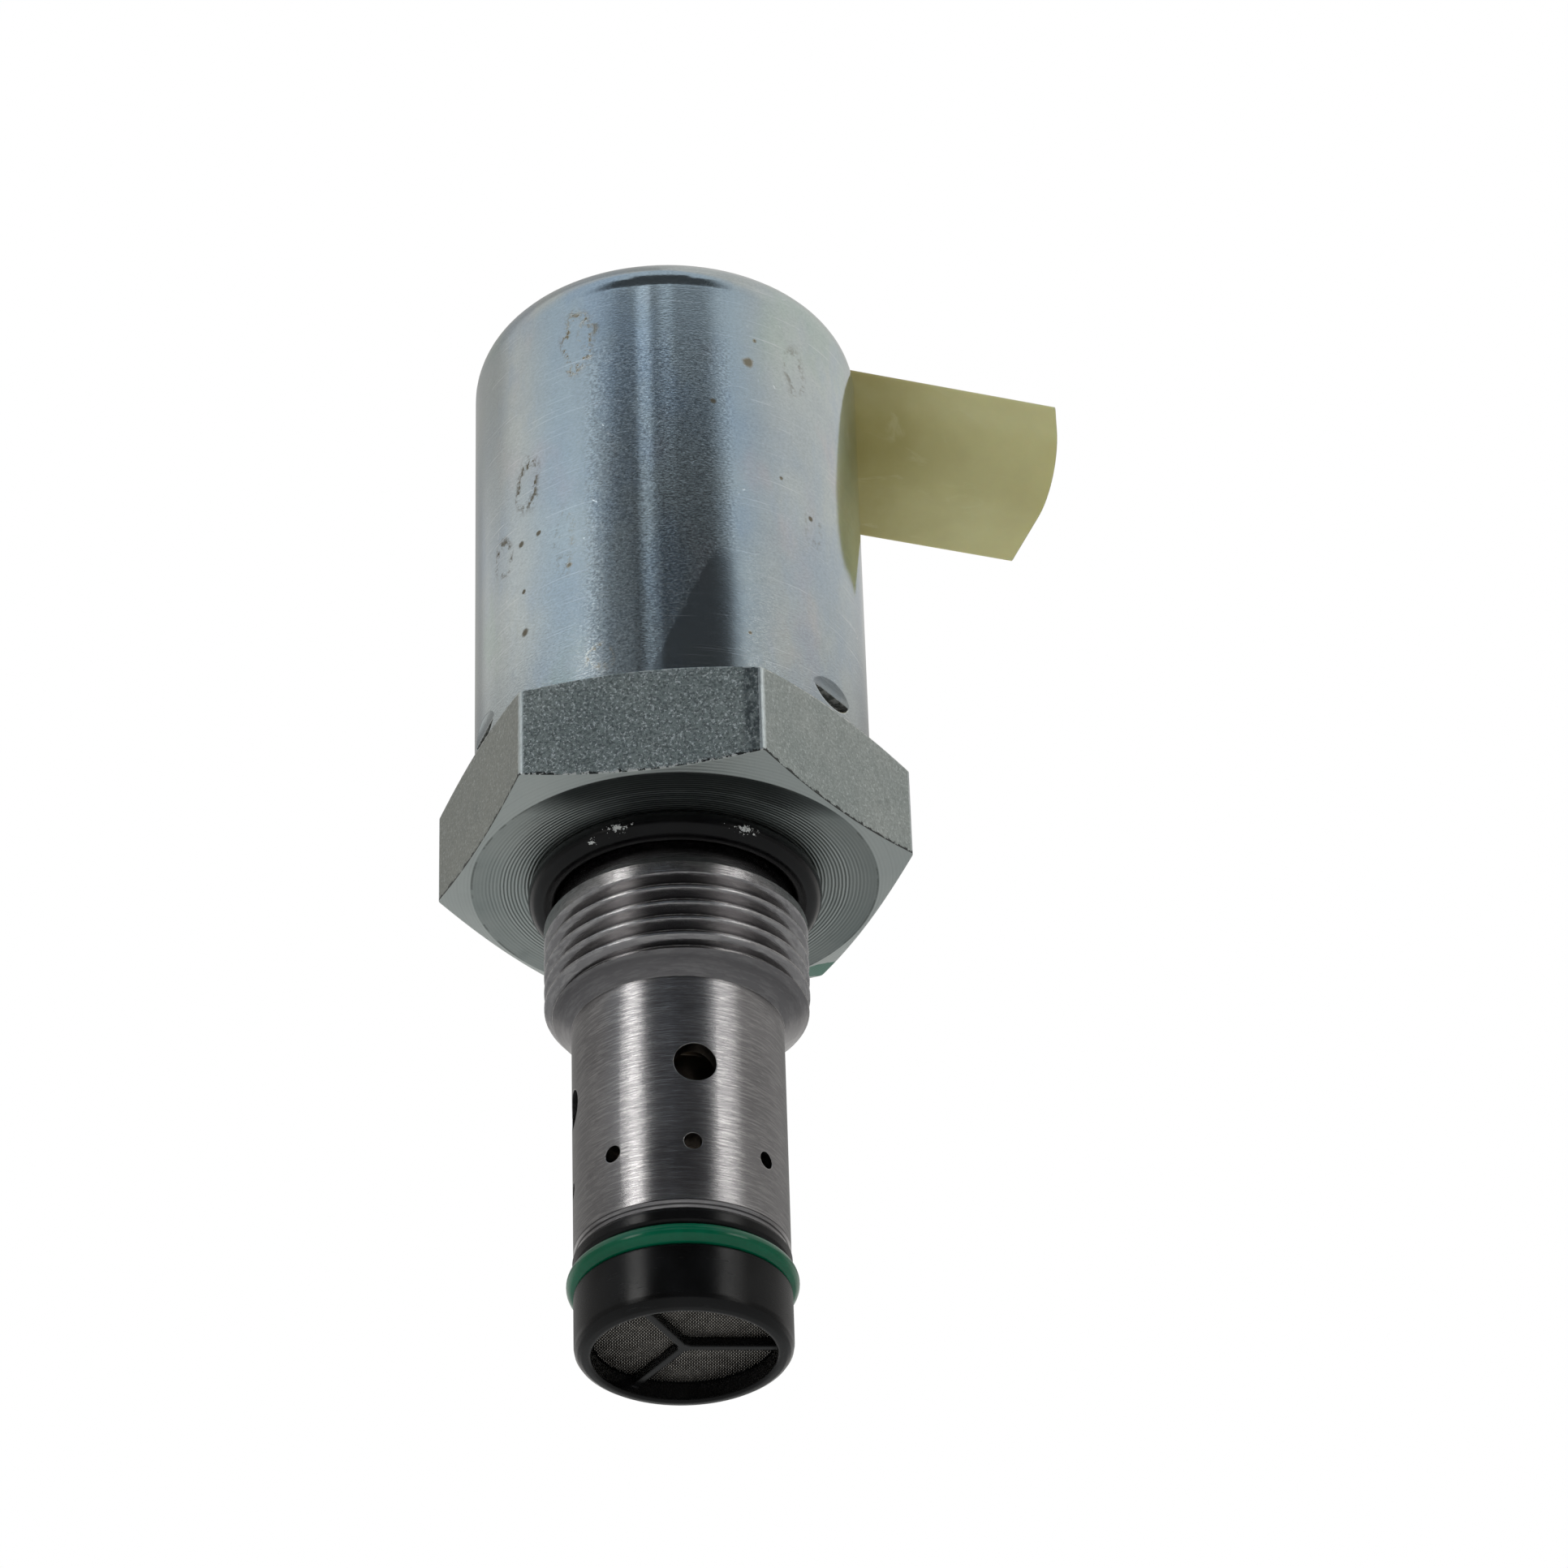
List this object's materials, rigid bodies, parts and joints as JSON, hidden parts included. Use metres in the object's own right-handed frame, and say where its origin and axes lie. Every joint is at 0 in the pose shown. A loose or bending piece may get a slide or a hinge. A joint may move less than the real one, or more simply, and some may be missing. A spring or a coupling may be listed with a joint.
{
  "type": "electro-hydraulic cartridge valve",
  "caption": "Screw-in solenoid pressure-regulating cartridge valve with crimped can, side connector, hexagon, threaded steel sleeve, seals and an end filter screen.",
  "frame": {"origin": "centre of the hexagon's seating face, on the thread axis", "axes": "+Z along the thread axis from the manifold cavity towards the solenoid, +X along the electrical connector"},
  "size_m": [0.0527, 0.04, 0.1003],
  "materials": {
    "zinc_can": "satin zinc plate",
    "zinc_hex": "satin zinc plate",
    "ground_steel": "turned and ground steel",
    "natural_nylon": "natural nylon, slightly translucent",
    "tin_brass": "tin-plated brass",
    "bobbin_plastic": "moulded",
    "copper_wire": "enamelled copper wire",
    "soft_iron": "turned",
    "stainless": "polished",
    "hard_steel": "ground, hardened",
    "spring_steel": "drawn wire",
    "black_rubber": "oiled rubber",
    "green_rubber": "oiled rubber",
    "black_plastic": "moulded, satin",
    "screen_steel": "woven stainless wire"
  },
  "bodies": {
    "valve": {"coil_can": "zinc_can", "connector_housing": "natural_nylon", "terminal_pins": "tin_brass", "coil_bobbin": "bobbin_plastic", "coil_winding": "copper_wire", "upper_flux_washer": "soft_iron", "lower_flux_washer": "soft_iron", "armature_tube": "stainless", "pole_piece": "soft_iron", "end_plug": "soft_iron", "plug_seal": "black_rubber", "pilot_seat": "hard_steel", "armature_spring": "spring_steel", "tube_seal": "black_rubber", "can_seal": "black_rubber", "hex_body": "zinc_hex", "cartridge_body": "ground_steel", "flange_seal": "black_rubber", "spool_spring": "spring_steel", "stop_ring": "spring_steel", "end_seal": "green_rubber", "filter_cap": "black_plastic", "filter_screen": "screen_steel"},
    "armature_assembly": {"armature": "soft_iron", "push_pin": "stainless", "pilot_poppet": "hard_steel"},
    "spool": {"main_spool": "hard_steel"}
  },
  "joints": [
    {"name": "armature_slide", "type": "slide", "parent": "valve", "child": "armature_assembly", "axis": [0, 0, 1], "range_m": [0, 0.0008], "stiffness_N_per_m": 2500, "springref_m": -0.0006, "deforming": ["armature_spring"]},
    {"name": "spool_slide", "type": "slide", "parent": "valve", "child": "spool", "axis": [0, 0, 1], "range_m": [0, 0.0025], "stiffness_N_per_m": 4000, "springref_m": -0.003, "deforming": ["spool_spring"]}
  ]
}
